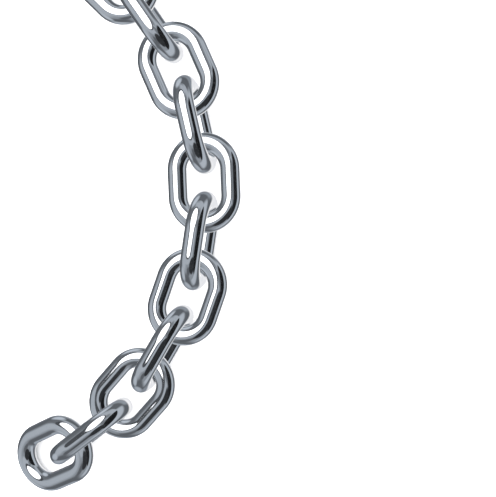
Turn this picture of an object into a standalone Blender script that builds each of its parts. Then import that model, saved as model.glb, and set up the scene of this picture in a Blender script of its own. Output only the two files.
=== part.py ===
"""A one metre length of polished round-link steel chain, laid in an open ring on a level floor.

Each link is one steel bar, bent round and closed: two half-round crowns joined by two straight legs.
The odd links lie level and the even links stand on edge. Each level link rests low in the crowns of
the two standing links beside it, and the first and last links tip down until their free crowns
touch the floor. The chain is slack, so the links sit closer together than they would under load.
"""

import math

import bpy
from mathutils import Matrix, Vector

# Link, in metres
WIRE_DIAMETER = 0.013
INNER_LENGTH = 0.041
INNER_WIDTH = 0.0233

# Lay on the floor
LINK_COUNT = 25
RING_RADIUS = 0.204
TURN_PER_LINK = math.radians(10.9)
SEAT_GAP = 0.0007

# Fineness of the bars
CROWN_STEPS = 12
BAR_SIDES = 12

# Sizes that follow from the ones above
BAR_RADIUS = WIRE_DIAMETER / 2
CORNER_RADIUS = BAR_RADIUS / math.cos(math.pi / BAR_SIDES)
HALF_LENGTH = INNER_LENGTH / 2 + BAR_RADIUS
HALF_WIDTH = INNER_WIDTH / 2 + BAR_RADIUS
HALF_LEG = HALF_LENGTH - HALF_WIDTH
STANDING_HEIGHT = HALF_WIDTH + BAR_RADIUS
CROWN_REACH = RING_RADIUS * math.sin(TURN_PER_LINK) - HALF_LENGTH * math.cos(TURN_PER_LINK)
SEAT_CLEARANCE = BAR_RADIUS + CORNER_RADIUS + SEAT_GAP

STEEL_COLOUR = (0.72, 0.74, 0.79, 1.0)
STEEL_ROUGHNESS = 0.08


def clear_scene():
    for obj in list(bpy.data.objects):
        bpy.data.objects.remove(obj, do_unlink=True)


def steel():
    material = bpy.data.materials.new("polished_steel")
    material.use_nodes = True
    surface = material.node_tree.nodes["Principled BSDF"]
    surface.inputs["Base Color"].default_value = STEEL_COLOUR
    surface.inputs["Metallic"].default_value = 1.0
    surface.inputs["Roughness"].default_value = STEEL_ROUGHNESS
    return material


def crown_point(angle):
    """A point of the +X crown's centre line, with angle 0 in its middle and a quarter turn at a leg."""
    return Vector((HALF_LEG + HALF_WIDTH * math.cos(angle), HALF_WIDTH * math.sin(angle), 0.0))


def link_curve(material):
    """The bar of one link as a closed curve in its own XY plane, long along X."""
    angles = [math.pi * (step / CROWN_STEPS - 0.5) for step in range(CROWN_STEPS + 1)]
    crown = [crown_point(angle) for angle in angles]
    outline = crown + [-point for point in crown]
    curve = bpy.data.curves.new("link_bar", "CURVE")
    curve.dimensions = "3D"
    curve.bevel_depth = CORNER_RADIUS
    curve.bevel_resolution = BAR_SIDES // 2 - 2
    spline = curve.splines.new("POLY")
    spline.points.add(len(outline) - 1)
    for point, place in zip(spline.points, outline):
        point.co = (*place, 1.0)
        # Half a side of turn lays a flat side of the bar, not a corner, on the floor.
        point.tilt = math.pi / BAR_SIDES
    spline.use_cyclic_u = True
    curve.materials.append(material)
    return curve


def seat_height():
    """How high a bar's centre lies where it crosses low in the crown of a standing link.

    The bar's centre keeps the seat clearance from the crown's centre line, so it lies on a small
    circle about the crown's own centre, past the end of the leg.
    """
    seat_radius = HALF_WIDTH - SEAT_CLEARANCE
    past_leg = CROWN_REACH - HALF_LEG
    return STANDING_HEIGHT - math.sqrt(seat_radius**2 - past_leg**2)


def ring_place(number):
    """The angle of a link on the ring, its place there, and the turn that lays its X along the ring."""
    angle = math.pi / 2 + (number - (LINK_COUNT + 1) / 2) * TURN_PER_LINK
    place = Vector((math.cos(angle), math.sin(angle), 0.0)) * RING_RADIUS
    return place, Matrix.Rotation(angle + math.pi / 2, 4, "Z")


def standing_matrix(number):
    place, heading = ring_place(number)
    place.z = STANDING_HEIGHT
    return Matrix.Translation(place) @ heading @ Matrix.Rotation(math.pi / 2, 4, "X")


def level_matrix(number):
    place, heading = ring_place(number)
    place.z = seat_height()
    return Matrix.Translation(place) @ heading


def end_matrix(number, inward):
    """An end link: its inner crown in its neighbour's, and its free crown on the floor.

    The inner crown is the one towards +X of the link where inward is 1, and towards -X where it is -1.
    """
    place, heading = ring_place(number)
    tip = math.asin((seat_height() - CORNER_RADIUS) / (2 * HALF_LENGTH))
    along = heading @ Vector((inward, 0.0, 0.0))
    place += along * HALF_LENGTH * (1 - math.cos(tip))
    place.z = (seat_height() + CORNER_RADIUS) / 2
    return Matrix.Translation(place) @ heading @ Matrix.Rotation(-inward * tip, 4, "Y")


def link_matrix(number):
    if number == 1:
        return end_matrix(number, 1)
    if number == LINK_COUNT:
        return end_matrix(number, -1)
    if number % 2:
        return level_matrix(number)
    return standing_matrix(number)


def add_links(collection, holder):
    curve = link_curve(steel())
    links = []
    for number in range(1, LINK_COUNT + 1):
        link = bpy.data.objects.new(f"link_{number:02d}", curve)
        link.matrix_world = link_matrix(number)
        link.parent = holder
        collection.objects.link(link)
        links.append(link)
    return links


def surface_points(link, graph):
    """The corners of a link's surface, as the viewport shows it, in world space."""
    evaluated = link.evaluated_get(graph)
    mesh = evaluated.to_mesh()
    points = [link.matrix_world @ vertex.co for vertex in mesh.vertices]
    evaluated.to_mesh_clear()
    return points


def centre_on_origin(links, holder):
    """Moves the whole lay so that its footprint is centred on the origin and it rests at height 0."""
    bpy.context.view_layer.update()
    graph = bpy.context.evaluated_depsgraph_get()
    points = [point for link in links for point in surface_points(link, graph)]
    low = Vector(min(point[axis] for point in points) for axis in range(3))
    high = Vector(max(point[axis] for point in points) for axis in range(3))
    middle = (low + high) / 2
    holder.location = (-middle.x, -middle.y, -low.z)


def main():
    clear_scene()
    collection = bpy.data.collections.new("steel_chain")
    bpy.context.scene.collection.children.link(collection)
    holder = bpy.data.objects.new("chain_lay", None)
    collection.objects.link(holder)
    links = add_links(collection, holder)
    centre_on_origin(links, holder)


main()
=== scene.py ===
"""The looks of a polished steel chain: its links, their finish, and the studio that it lies in.

Run in Blender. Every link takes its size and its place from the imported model, so nothing is fitted
by eye: a link here is the same closed bar as the solid that it stands for, but its surface is far
finer.
"""

import math
from typing import NamedTuple

import bmesh
import bpy
from mathutils import Matrix, Vector


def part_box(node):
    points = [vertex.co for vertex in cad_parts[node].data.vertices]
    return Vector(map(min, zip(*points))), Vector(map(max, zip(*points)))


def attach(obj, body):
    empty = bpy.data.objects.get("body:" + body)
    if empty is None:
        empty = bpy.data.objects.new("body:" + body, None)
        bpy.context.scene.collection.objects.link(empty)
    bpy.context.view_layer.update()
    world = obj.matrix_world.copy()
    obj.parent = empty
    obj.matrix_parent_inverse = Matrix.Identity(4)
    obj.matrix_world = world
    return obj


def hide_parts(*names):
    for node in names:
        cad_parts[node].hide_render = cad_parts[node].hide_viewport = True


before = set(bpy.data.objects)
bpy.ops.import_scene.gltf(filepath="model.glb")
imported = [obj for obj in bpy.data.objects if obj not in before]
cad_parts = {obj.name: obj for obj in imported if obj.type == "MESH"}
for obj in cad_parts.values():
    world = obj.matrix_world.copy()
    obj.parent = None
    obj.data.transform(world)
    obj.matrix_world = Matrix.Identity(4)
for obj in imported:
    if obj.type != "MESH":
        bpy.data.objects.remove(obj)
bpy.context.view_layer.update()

bl_info = {
    "name": "Polished Chain",
    "version": (1, 0, 0),
    "blender": (4, 5, 0),
    "location": "View3D > Sidebar > Chain",
    "description": "Makes the links, the steel and the studio of a polished round-link chain",
    "category": "Add Mesh",
}

BODY = "root"
SLOT = "polished_steel"
LINKS = sorted(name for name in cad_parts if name.startswith("link_"))
MIDDLE_LINK = LINKS[len(LINKS) // 2]
END_LINKS = (LINKS[0], LINKS[-1])
LEVEL_LINKS = LINKS[2:-2:2]
STANDING_LINKS = LINKS[1::2]

# Where a link's sweep meets itself, points closer than this share of the bar's radius become one.
MERGE_SHARE = 0.001

# The polish varies in patches: it is good below one level of their noise, and dull past another.
PATCH_DETAIL = 3.0
GOOD_BELOW = 0.35
DULL_PAST = 0.75

RIPPLE_DETAIL = 1.0
RIPPLE_STRENGTH = 1.0

FLOOR_ROUGHNESS = 0.9

# The camera sees what lies between these distances, in metres.
NEAREST_SEEN = 0.01
FARTHEST_SEEN = 100.0


def middle(name):
    """A link's middle, which is the middle of its box, because a link is alike both ways round."""
    low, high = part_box(name)
    return (low + high) / 2


def size(name):
    low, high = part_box(name)
    return high - low


def neighbour_chord(index):
    """The line from the link before to the link after. It runs along the link between them."""
    return middle(LINKS[index + 1]) - middle(LINKS[index - 1])


def turn_per_link():
    """The angle between one link's heading and the next, read in the middle of the chain."""
    index = len(LINKS) // 2
    before = neighbour_chord(index - 1).to_2d()
    after = neighbour_chord(index + 1).to_2d()
    return abs(before.angle(after)) / 2


class LinkSizes(bpy.types.PropertyGroup):
    """The link's sizes. The middle link lies level and along X, so its box gives all of them."""

    bar_diameter: bpy.props.FloatProperty(
        name="Bar diameter",
        description="Thickness of the round bar that a link is bent from",
        default=size(MIDDLE_LINK).z,
        subtype="DISTANCE",
    )
    outer_length: bpy.props.FloatProperty(
        name="Outer length",
        description="Length of a link over its two crowns",
        default=size(MIDDLE_LINK).x,
        subtype="DISTANCE",
    )
    outer_width: bpy.props.FloatProperty(
        name="Outer width",
        description="Width of a link over its two legs",
        default=size(MIDDLE_LINK).y,
        subtype="DISTANCE",
    )
    turn: bpy.props.FloatProperty(
        name="Turn per link",
        description="How far each link is turned from the one before it",
        default=turn_per_link(),
        subtype="ANGLE",
    )
    bar_sides: bpy.props.IntProperty(
        name="Bar sides",
        description="Number of faces round the bar",
        default=56,
    )
    crown_steps: bpy.props.IntProperty(
        name="Crown steps",
        description="Number of faces round a half-round crown",
        default=56,
    )
    leg_steps: bpy.props.IntProperty(
        name="Leg steps",
        description="Number of faces along a straight leg",
        default=8,
    )


class SteelFinish(bpy.types.PropertyGroup):
    """The polished steel."""

    colour: bpy.props.FloatVectorProperty(
        name="Colour",
        description="What the steel reflects straight on",
        default=(0.80, 0.82, 0.85),
        subtype="COLOR",
        min=0.0,
        max=1.0,
    )
    shaded_colour: bpy.props.FloatVectorProperty(
        name="Shaded colour",
        description="The steel's colour where the polish has gone a little dull",
        default=(0.73, 0.75, 0.785),
        subtype="COLOR",
        min=0.0,
        max=1.0,
    )
    edge_tint: bpy.props.FloatVectorProperty(
        name="Edge tint",
        description="What the steel reflects at a grazing angle",
        default=(0.66, 0.68, 0.71),
        subtype="COLOR",
        min=0.0,
        max=1.0,
    )
    roughness: bpy.props.FloatProperty(
        name="Roughness",
        description="Blur of the reflections where the steel is well polished",
        default=0.035,
    )
    dull_roughness: bpy.props.FloatProperty(
        name="Dull roughness",
        description="Blur of the reflections where the polish is worn",
        default=0.09,
    )
    patch_size: bpy.props.FloatProperty(
        name="Patch size",
        description="Size of the patches in which the polish varies",
        default=0.02,
        subtype="DISTANCE",
    )
    ripple_size: bpy.props.FloatProperty(
        name="Ripple size",
        description="Size of the ripples that polishing leaves in the steel",
        default=0.008,
        subtype="DISTANCE",
    )
    ripple_depth: bpy.props.FloatProperty(
        name="Ripple depth",
        description="Depth of those ripples",
        default=0.00002,
        subtype="DISTANCE",
    )


class StudioSetup(bpy.types.PropertyGroup):
    """The floor, the lights and the camera.

    The studio's X is the picture's right, and its Y the picture's top.
    """

    floor_size: bpy.props.FloatProperty(
        name="Floor size",
        description="Width of the floor",
        default=40.0,
        subtype="DISTANCE",
    )
    floor_colour: bpy.props.FloatVectorProperty(
        name="Floor colour",
        description="Colour of the floor",
        default=(0.90, 0.90, 0.91),
        subtype="COLOR",
        min=0.0,
        max=1.0,
    )
    fill_strength: bpy.props.FloatProperty(
        name="Fill strength",
        description="Brightness of the even light from all round that falls on the floor",
        default=2.8,
    )
    grey_cast: bpy.props.FloatVectorProperty(
        name="Grey cast",
        description="The cool cast of the greys that the steel mirrors",
        default=(0.93, 1.0, 1.08),
        subtype="COLOR",
        min=0.0,
        max=2.0,
    )
    box_distance: bpy.props.FloatProperty(
        name="Soft box distance",
        description="From the chain to the soft box",
        default=3.0,
        subtype="DISTANCE",
    )
    box_side_angle: bpy.props.FloatProperty(
        name="Soft box side angle",
        description="From straight above the chain to the soft box, towards the picture's right",
        default=math.radians(-13.5),
        subtype="ANGLE",
    )
    box_front_angle: bpy.props.FloatProperty(
        name="Soft box front angle",
        description="From straight above the chain to the soft box, towards the picture's top",
        default=math.radians(26.3),
        subtype="ANGLE",
    )
    box_turn: bpy.props.FloatProperty(
        name="Soft box turn",
        description="How far the soft box is turned about its own middle",
        default=math.radians(-35.0),
        subtype="ANGLE",
    )
    box_width: bpy.props.FloatProperty(
        name="Soft box width",
        description="The short way across the soft box",
        default=3.6,
        subtype="DISTANCE",
    )
    box_depth: bpy.props.FloatProperty(
        name="Soft box depth",
        description="The long way across the soft box",
        default=4.2,
        subtype="DISTANCE",
    )
    box_brightness: bpy.props.FloatProperty(
        name="Soft box brightness",
        description="Brightness of the soft box's face, where 1 is white",
        default=2.0,
    )
    target: bpy.props.FloatVectorProperty(
        name="Camera target",
        description="The point that the camera looks at",
        default=(0.2295, 0.0231, 0.0203),
        subtype="XYZ_LENGTH",
    )
    distance: bpy.props.FloatProperty(
        name="Camera distance",
        description="From the camera to the point that it looks at",
        default=0.5174,
        subtype="DISTANCE",
    )
    heading: bpy.props.FloatProperty(
        name="Studio heading",
        description="From +X to the picture's right-hand side, seen from above",
        default=math.radians(22.37),
        subtype="ANGLE",
    )
    side_tilt: bpy.props.FloatProperty(
        name="Camera side tilt",
        description="How far the camera leans from straight above towards the picture's right",
        default=math.radians(10.70),
        subtype="ANGLE",
    )
    front_tilt: bpy.props.FloatProperty(
        name="Camera front tilt",
        description="How far the camera leans from straight above towards the picture's top",
        default=math.radians(1.23),
        subtype="ANGLE",
    )
    lens: bpy.props.FloatProperty(
        name="Lens",
        description="Focal length on a sensor 36 mm wide",
        default=56.5,
    )


def link_bar(sizes):
    """One link as a closed round bar in its own XY plane, long along X."""
    bar_radius = sizes.bar_diameter / 2
    crown_radius = sizes.outer_width / 2 - bar_radius
    half_leg = sizes.outer_length / 2 - bar_radius - crown_radius
    leg = Vector((2 * half_leg, 0.0, 0.0))
    shape = bmesh.new()
    upright = Matrix.Rotation(math.pi / 2, 4, "Y")
    bmesh.ops.create_circle(
        shape,
        segments=sizes.bar_sides,
        radius=bar_radius,
        cap_ends=False,
        matrix=Matrix.Translation((half_leg, -crown_radius, 0.0)) @ upright,
    )
    section = spin_crown(shape, list(shape.edges), half_leg, sizes.crown_steps)
    section = push_leg(shape, section, -leg, sizes.leg_steps)
    section = spin_crown(shape, section, -half_leg, sizes.crown_steps)
    push_leg(shape, section, leg, sizes.leg_steps)
    bmesh.ops.remove_doubles(shape, verts=shape.verts, dist=bar_radius * MERGE_SHARE)
    bmesh.ops.recalc_face_normals(shape, faces=shape.faces)
    put_in_order(shape)
    return shape


def put_in_order(shape):
    """Orders edges and faces by their corners, because the operators' own order varies by run."""
    shape.verts.index_update()
    count = len(shape.verts)

    def rank(part):
        number = 0
        for corner in sorted(vert.index for vert in part.verts):
            number = number * count + corner
        return number

    shape.edges.sort(key=rank)
    shape.faces.sort(key=rank)


def only_edges(geometry):
    return [item for item in geometry if isinstance(item, bmesh.types.BMEdge)]


def only_verts(geometry):
    return [item for item in geometry if isinstance(item, bmesh.types.BMVert)]


def spin_crown(shape, section, centre_x, steps):
    """Sweeps the bar's section half round a crown's middle, and gives the section at its end."""
    # A dict holds each corner once, in the same order each run.
    corners = dict.fromkeys(vert for edge in section for vert in edge.verts)
    swept = bmesh.ops.spin(
        shape,
        geom=[*section, *corners],
        cent=(centre_x, 0.0, 0.0),
        axis=(0.0, 0.0, 1.0),
        angle=math.pi,
        steps=steps,
        use_merge=False,
        use_duplicate=False,
    )
    return only_edges(swept["geom_last"])


def push_leg(shape, section, along, steps):
    """Draws the bar's section straight on along a leg, and gives the section at its end."""
    for _ in range(steps):
        grown = bmesh.ops.extrude_edge_only(shape, edges=section)
        section = only_edges(grown["geom"])
        bmesh.ops.translate(shape, verts=only_verts(grown["geom"]), vec=along / steps)
    return section


def heading(name, sizes):
    """The turn about Z that lays a link along the chain, which runs towards -X in its middle."""
    steps_on = LINKS.index(name) - LINKS.index(MIDDLE_LINK)
    return Matrix.Rotation(math.pi + steps_on * sizes.turn, 4, "Z")


def level_place(name, sizes):
    return Matrix.Translation(middle(name)) @ heading(name, sizes)


def standing_place(name, sizes):
    return level_place(name, sizes) @ Matrix.Rotation(math.pi / 2, 4, "X")


def end_place(name, sizes):
    """An end link tips about its own width until its free crown rests on the floor."""
    bar_radius = sizes.bar_diameter / 2
    half_length = sizes.outer_length / 2 - bar_radius
    tip = math.asin((middle(name).z - bar_radius) / half_length)
    inward = 1 if name == END_LINKS[0] else -1
    return level_place(name, sizes) @ Matrix.Rotation(-inward * tip, 4, "Y")


def steel_material():
    """Polished steel: mirror-bright and a little cool, with faint ripples and duller patches."""
    finish = bpy.context.scene.steel_finish
    material = bpy.data.materials.get(SLOT) or bpy.data.materials.new(SLOT)
    material.use_nodes = True
    nodes = material.node_tree.nodes
    join = material.node_tree.links.new
    nodes.clear()
    output = nodes.new("ShaderNodeOutputMaterial")
    surface = nodes.new("ShaderNodeBsdfPrincipled")
    place = nodes.new("ShaderNodeTexCoord")
    patches = nodes.new("ShaderNodeTexNoise")
    patches.inputs["Scale"].default_value = 1 / finish.patch_size
    patches.inputs["Detail"].default_value = PATCH_DETAIL
    tint = nodes.new("ShaderNodeMix")
    tint.data_type = "RGBA"
    tint.inputs["A"].default_value = (*finish.colour, 1.0)
    tint.inputs["B"].default_value = (*finish.shaded_colour, 1.0)
    dulling = nodes.new("ShaderNodeMapRange")
    dulling.inputs["From Min"].default_value = GOOD_BELOW
    dulling.inputs["From Max"].default_value = DULL_PAST
    dulling.inputs["To Min"].default_value = finish.roughness
    dulling.inputs["To Max"].default_value = finish.dull_roughness
    ripples = nodes.new("ShaderNodeTexNoise")
    ripples.inputs["Scale"].default_value = 1 / finish.ripple_size
    ripples.inputs["Detail"].default_value = RIPPLE_DETAIL
    bump = nodes.new("ShaderNodeBump")
    bump.inputs["Strength"].default_value = RIPPLE_STRENGTH
    bump.inputs["Distance"].default_value = finish.ripple_depth
    surface.inputs["Metallic"].default_value = 1.0
    surface.inputs["Specular Tint"].default_value = (*finish.edge_tint, 1.0)
    join(place.outputs["Object"], patches.inputs["Vector"])
    join(place.outputs["Object"], ripples.inputs["Vector"])
    join(patches.outputs["Fac"], tint.inputs["Factor"])
    join(patches.outputs["Fac"], dulling.inputs["Value"])
    join(ripples.outputs["Fac"], bump.inputs["Height"])
    join(tint.outputs["Result"], surface.inputs["Base Color"])
    join(dulling.outputs["Result"], surface.inputs["Roughness"])
    join(bump.outputs["Normal"], surface.inputs["Normal"])
    join(surface.outputs["BSDF"], output.inputs["Surface"])
    return material


def add_links(names, place_of):
    """Makes each named link from the one bar shape, with its place in its mesh."""
    sizes = bpy.context.scene.link_sizes
    material = steel_material()
    shape = link_bar(sizes)
    for name in names:
        copy = shape.copy()
        bmesh.ops.transform(copy, matrix=place_of(name, sizes), verts=copy.verts)
        mesh = bpy.data.meshes.new(f"{name}_polished")
        copy.to_mesh(mesh)
        copy.free()
        mesh.shade_smooth()
        mesh.materials.append(material)
        link = bpy.data.objects.new(f"{name}_polished", mesh)
        bpy.context.scene.collection.objects.link(link)
        # As in the photo, the links mirror the studio and show nothing of one another.
        link.visible_glossy = False
        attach(link, BODY)
        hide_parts(name)
    shape.free()


class CHAIN_OT_level_links(bpy.types.Operator):
    """Make the links that lie level, in the crowns of their neighbours"""

    bl_idname = "chain.level_links"
    bl_label = "Level Links"

    def execute(self, context):
        add_links(LEVEL_LINKS, level_place)
        return {"FINISHED"}


class CHAIN_OT_standing_links(bpy.types.Operator):
    """Make the links that stand on edge"""

    bl_idname = "chain.standing_links"
    bl_label = "Standing Links"

    def execute(self, context):
        add_links(STANDING_LINKS, standing_place)
        return {"FINISHED"}


class CHAIN_OT_end_links(bpy.types.Operator):
    """Make the first and the last link, which tip down to the floor"""

    bl_idname = "chain.end_links"
    bl_label = "End Links"

    def execute(self, context):
        add_links(END_LINKS, end_place)
        return {"FINISHED"}


def floor_material(studio):
    material = bpy.data.materials.new("pale_floor")
    material.use_nodes = True
    surface = material.node_tree.nodes["Principled BSDF"]
    surface.inputs["Base Color"].default_value = (*studio.floor_colour, 1.0)
    surface.inputs["Roughness"].default_value = FLOOR_ROUGHNESS
    return material


def add_floor(studio):
    """A pale floor. The steel doesn't mirror it, but the studio's painted ground instead."""
    shape = bmesh.new()
    bmesh.ops.create_grid(shape, x_segments=1, y_segments=1, size=studio.floor_size / 2)
    mesh = bpy.data.meshes.new("floor")
    shape.to_mesh(mesh)
    shape.free()
    mesh.materials.append(floor_material(studio))
    piece = bpy.data.objects.new("floor", mesh)
    bpy.context.scene.collection.objects.link(piece)
    piece.visible_glossy = False


def studio_turn(studio):
    return Matrix.Rotation(studio.heading, 4, "Z")


def box_towards(studio):
    """From the chain towards the soft box, in the studio's own directions."""
    return Vector((math.tan(studio.box_side_angle), math.tan(studio.box_front_angle), 1.0))


def soft_box_matrix(studio):
    """The soft box hangs over the chain, a little to one side, and faces it."""
    towards = box_towards(studio)
    facing = towards.to_track_quat("Z", "Y").to_matrix().to_4x4()
    turned = facing @ Matrix.Rotation(studio.box_turn, 4, "Z")
    centre = Matrix.Translation(studio.target) @ studio_turn(studio)
    return centre @ Matrix.Translation(towards.normalized() * studio.box_distance) @ turned


def add_soft_box(studio):
    light = bpy.data.lights.new("soft_box", "AREA")
    light.shape = "ELLIPSE"
    light.size = studio.box_width
    light.size_y = studio.box_depth
    face = math.pi / 4 * studio.box_width * studio.box_depth
    light.energy = math.pi * face * studio.box_brightness
    lamp = bpy.data.objects.new("soft_box", light)
    lamp.matrix_world = soft_box_matrix(studio)
    bpy.context.scene.collection.objects.link(lamp)
    lamp.visible_camera = False


def camera_matrix(studio):
    """Where the camera stands, and which way up its picture is."""
    side = studio.side_tilt
    front = studio.front_tilt
    back = Vector(
        (math.cos(front) * math.sin(side), math.sin(front), math.cos(front) * math.cos(side))
    )
    right = Vector((math.cos(side), 0.0, -math.sin(side)))
    up = back.cross(right)
    turn = Matrix((right, up, back)).transposed().to_4x4()
    place = Vector(studio.target) + studio_turn(studio) @ back * studio.distance
    return Matrix.Translation(place) @ studio_turn(studio) @ turn


def add_camera(studio):
    data = bpy.data.cameras.new("camera")
    data.lens = studio.lens
    data.clip_start = NEAREST_SEEN
    data.clip_end = FARTHEST_SEEN
    camera = bpy.data.objects.new("camera", data)
    camera.matrix_world = camera_matrix(studio)
    bpy.context.scene.collection.objects.link(camera)
    bpy.context.scene.camera = camera


class Field(NamedTuple):
    """A round patch of the studio that the steel mirrors, with its angles in degrees."""

    azimuth: float  # from the picture's right towards its top
    elevation: float  # above the horizon, or below it where it is negative
    inner: float  # it is full within this angle of its middle
    outer: float  # it has faded away at this one
    brightness: float  # 1 is white


class Ring(NamedTuple):
    """A ring round the soft box that the steel mirrors, with its angles in degrees."""

    inner: float  # it is full within this angle of the soft box's middle
    outer: float  # it has faded away at this one
    brightness: float  # 1 is white


# The walls are one grey with these fields on it, each painted over those before it.
WALL_GREY = 0.33
WALL_FIELDS = (
    Field(146.0, 20.0, 16.0, 42.0, 0.175),  # slate, at the upper left
    Field(192.0, 26.0, 12.0, 36.0, 0.50),  # pale, at the left
    Field(58.0, 12.0, 14.0, 38.0, 0.50),  # pale, at the upper right
    Field(54.0, 38.0, 4.0, 20.0, 0.25),  # grey between the soft box and that one
    Field(8.0, 52.0, 8.0, 18.0, 0.21),  # grey between the soft box and the dark wall
    Field(-112.0, 4.0, 10.0, 28.0, 0.14),  # dark, at the bottom
    Field(-100.0, 34.0, 8.0, 20.0, 0.13),  # dark, over that one
    Field(-6.0, 0.0, 43.0, 49.0, 0.012),  # the dark wall, at the right
    Field(-55.0, 40.0, 22.0, 29.0, 0.032),  # its end, which leans in over the chain
)

# The halo lies under the walls' fields, and the rim over them.
BOX_HALO = Ring(53.0, 59.0, 0.50)
BOX_RIM = Ring(38.0, 42.0, 0.08)

# The ground has rings too. One tone turns into the next between two heights of the mirrored
# direction, which are 0 at the horizon and -1 straight down.
GROUND_PALE = 0.56
GROUND_GREY = 0.38
GROUND_DARK = 0.15
HORIZON = (0.03, -0.05)  # the walls above it, the ground below
RIGHT_RING = (-0.38, -0.60)  # pale outside it, dark inside
LEFT_RING = (-0.50, -0.70)  # dark outside it, grey inside
BENEATH_RING = (-0.82, -0.92)  # inside it the bright floor right under the chain
BENEATH_COLOUR = (1.36, 1.32, 1.28)

# The middle of the ground's right side, as an azimuth in degrees, and where the left side turns
# into it: 0 is square to that middle, and 1 is at it.
RIGHT_SIDE = -17.0
SIDES_MEET = (0.20, 0.55)

# These fields lie over the walls too, where they reach past the horizon.
GROUND_FIELDS = (
    Field(-146.0, -5.0, 10.0, 22.0, 0.58),  # pale, at the lower left
    Field(-118.0, -30.0, 8.0, 22.0, 0.55),  # pale, under that one
    Field(123.0, -15.0, 10.0, 24.0, 0.66),  # pale, at the upper left
    Field(-175.0, -48.0, 8.0, 18.0, 0.13),  # dark, at the left
)


def studio_direction(studio, azimuth, elevation):
    """A direction from the chain, with its azimuth and its height above the horizon in degrees."""
    azimuth = math.radians(azimuth)
    elevation = math.radians(elevation)
    flat = Vector((math.cos(azimuth), math.sin(azimuth), 0.0)) * math.cos(elevation)
    return studio_turn(studio) @ (flat + Vector((0.0, 0.0, math.sin(elevation))))


def nearness(tree, direction, towards):
    """How near the mirrored direction is to another: 1 where they are one, and 0 square to it."""
    dot = tree.nodes.new("ShaderNodeVectorMath")
    dot.operation = "DOT_PRODUCT"
    dot.inputs[1].default_value = towards
    tree.links.new(direction, dot.inputs[0])
    return dot.outputs["Value"]


def soft_step(tree, value, start, end):
    """0 until the value comes to the start, and 1 from the end on, with a soft turn between."""
    step = tree.nodes.new("ShaderNodeMapRange")
    step.interpolation_type = "SMOOTHSTEP"
    step.inputs["From Min"].default_value = start
    step.inputs["From Max"].default_value = end
    tree.links.new(value, step.inputs["Value"])
    return step.outputs["Result"]


def painted_over(tree, factor, under, over):
    """One colour laid over another by the factor. Each of the two is a socket or a plain colour."""
    mix = tree.nodes.new("ShaderNodeMix")
    mix.data_type = "RGBA"
    tree.links.new(factor, mix.inputs["Factor"])
    for socket, colour in ((mix.inputs["A"], under), (mix.inputs["B"], over)):
        if isinstance(colour, bpy.types.NodeSocket):
            tree.links.new(colour, socket)
        else:
            socket.default_value = (*colour, 1.0)
    return mix.outputs["Result"]


def within(tree, direction, towards, patch):
    """1 within a patch's inner angle of its middle, and 0 past its outer one."""
    faded = math.cos(math.radians(patch.outer))
    full = math.cos(math.radians(patch.inner))
    return soft_step(tree, nearness(tree, direction, towards), faded, full)


def toned(studio, brightness):
    """A grey of the studio, with its cool cast."""
    return tuple(brightness * tone for tone in studio.grey_cast)


def painted_fields(studio, tree, direction, under, fields):
    for field in fields:
        centre = studio_direction(studio, field.azimuth, field.elevation)
        factor = within(tree, direction, centre, field)
        under = painted_over(tree, factor, under, toned(studio, field.brightness))
    return under


def painted_ring(studio, tree, direction, under, ring):
    """A ring round the soft box, painted as a disc, because the soft box hides its middle."""
    centre = studio_turn(studio) @ box_towards(studio).normalized()
    factor = within(tree, direction, centre, ring)
    return painted_over(tree, factor, under, toned(studio, ring.brightness))


def mirrored_walls(studio, tree, direction):
    """Grey walls with darker and paler fields, and a pale halo and dark rim round the soft box."""
    walls = painted_ring(studio, tree, direction, toned(studio, WALL_GREY), BOX_HALO)
    walls = painted_fields(studio, tree, direction, walls, WALL_FIELDS)
    return painted_ring(studio, tree, direction, walls, BOX_RIM)


def mirrored_ground(studio, tree, direction, up):
    """The ground in rings: pale and then dark on the right, dark and then grey on the left."""
    pale, grey, dark = (toned(studio, tone) for tone in (GROUND_PALE, GROUND_GREY, GROUND_DARK))
    right = painted_over(tree, soft_step(tree, up, *RIGHT_RING), pale, dark)
    left = painted_over(tree, soft_step(tree, up, *LEFT_RING), dark, grey)
    rightwards = nearness(tree, direction, studio_direction(studio, RIGHT_SIDE, 0.0))
    ground = painted_over(tree, soft_step(tree, rightwards, *SIDES_MEET), left, right)
    return painted_over(tree, soft_step(tree, up, *BENEATH_RING), ground, BENEATH_COLOUR)


def reflected_studio(studio, tree, direction):
    """What the steel mirrors instead of the floor: walls above the horizon, ground below it."""
    up = nearness(tree, direction, (0.0, 0.0, 1.0))
    walls = mirrored_walls(studio, tree, direction)
    ground = mirrored_ground(studio, tree, direction, up)
    room = painted_over(tree, soft_step(tree, up, *HORIZON), walls, ground)
    return painted_fields(studio, tree, direction, room, GROUND_FIELDS)


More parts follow.
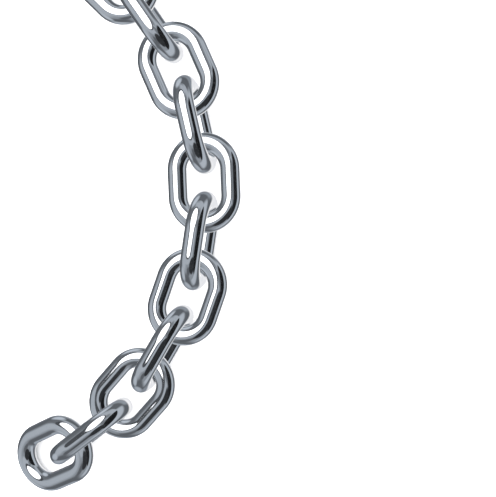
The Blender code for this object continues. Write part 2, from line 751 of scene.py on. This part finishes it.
def add_world(studio):
    """Even light from all round for the floor, and the painted studio for the steel to mirror."""
    world = bpy.data.worlds.new("studio")
    world.use_nodes = True
    tree = world.node_tree
    join = tree.links.new
    tree.nodes.clear()
    place = tree.nodes.new("ShaderNodeTexCoord")
    ray = tree.nodes.new("ShaderNodeLightPath")
    mirrored = tree.nodes.new("ShaderNodeBackground")
    join(reflected_studio(studio, tree, place.outputs["Generated"]), mirrored.inputs["Color"])
    even = tree.nodes.new("ShaderNodeBackground")
    even.inputs["Color"].default_value = (1.0, 1.0, 1.0, 1.0)
    even.inputs["Strength"].default_value = studio.fill_strength
    mix = tree.nodes.new("ShaderNodeMixShader")
    output = tree.nodes.new("ShaderNodeOutputWorld")
    join(ray.outputs["Is Glossy Ray"], mix.inputs["Fac"])
    join(even.outputs["Background"], mix.inputs[1])
    join(mirrored.outputs["Background"], mix.inputs[2])
    join(mix.outputs["Shader"], output.inputs["Surface"])
    bpy.context.scene.world = world


class CHAIN_OT_studio(bpy.types.Operator):
    """Make the floor, the lights and the camera"""

    bl_idname = "chain.studio"
    bl_label = "Studio"

    def execute(self, context):
        studio = context.scene.studio_setup
        add_floor(studio)
        add_soft_box(studio)
        add_world(studio)
        add_camera(studio)
        context.scene.view_settings.view_transform = "Standard"
        return {"FINISHED"}


OPERATORS = (CHAIN_OT_studio, CHAIN_OT_level_links, CHAIN_OT_standing_links, CHAIN_OT_end_links)


class CHAIN_PT_panel(bpy.types.Panel):
    """The chain's pieces and sizes"""

    bl_idname = "CHAIN_PT_panel"
    bl_label = "Polished Chain"
    bl_space_type = "VIEW_3D"
    bl_region_type = "UI"
    bl_category = "Chain"

    def draw(self, context):
        layout = self.layout
        scene = context.scene
        for operator in OPERATORS:
            layout.operator(operator.bl_idname)
        for group in (scene.link_sizes, scene.steel_finish, scene.studio_setup):
            box = layout.box()
            for name in group.__annotations__:
                box.prop(group, name)


CLASSES = (LinkSizes, SteelFinish, StudioSetup, *OPERATORS, CHAIN_PT_panel)


def register():
    for item in CLASSES:
        bpy.utils.register_class(item)
    bpy.types.Scene.link_sizes = bpy.props.PointerProperty(type=LinkSizes)
    bpy.types.Scene.steel_finish = bpy.props.PointerProperty(type=SteelFinish)
    bpy.types.Scene.studio_setup = bpy.props.PointerProperty(type=StudioSetup)


def unregister():
    del bpy.types.Scene.studio_setup
    del bpy.types.Scene.steel_finish
    del bpy.types.Scene.link_sizes
    for item in reversed(CLASSES):
        bpy.utils.unregister_class(item)


def main():
    register()
    bpy.ops.chain.studio()
    bpy.ops.chain.level_links()
    bpy.ops.chain.standing_links()
    bpy.ops.chain.end_links()


if __name__ == "__main__":
    main()
